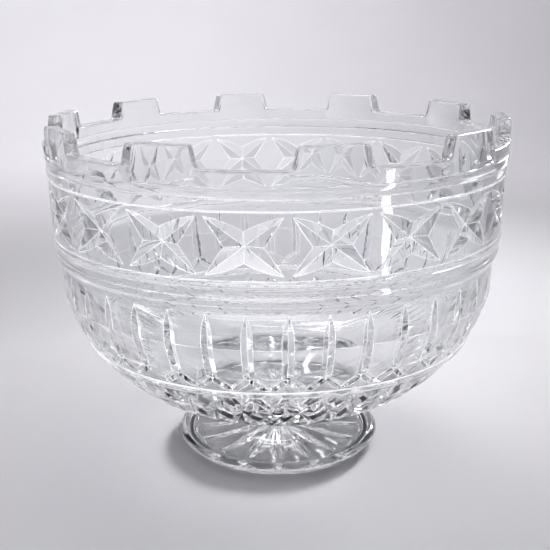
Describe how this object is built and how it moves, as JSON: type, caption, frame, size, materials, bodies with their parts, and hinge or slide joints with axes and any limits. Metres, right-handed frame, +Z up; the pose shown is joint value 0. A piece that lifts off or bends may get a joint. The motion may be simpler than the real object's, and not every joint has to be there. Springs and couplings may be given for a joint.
{
  "type": "punch bowl",
  "caption": "Footed cut-crystal punch bowl with a castellated rim, star-cut band, fluted sides and a petal-cut foot, for serving drinks.",
  "frame": {"origin": "centre of the foot's underside, on the table", "axes": "+Z up along the bowl's axis; -Y is the front, where a gap in the rim lies; +X to the right, where a rim block lies"},
  "size_m": [0.2994, 0.3004, 0.2289],
  "materials": {
    "lead_crystal": "fire-polished clear lead crystal, colourless, very faintly cool in thick edges"
  },
  "bodies": {
    "root": {"bowl": "lead_crystal", "stem": "lead_crystal", "foot": "lead_crystal"}
  },
  "joints": []
}
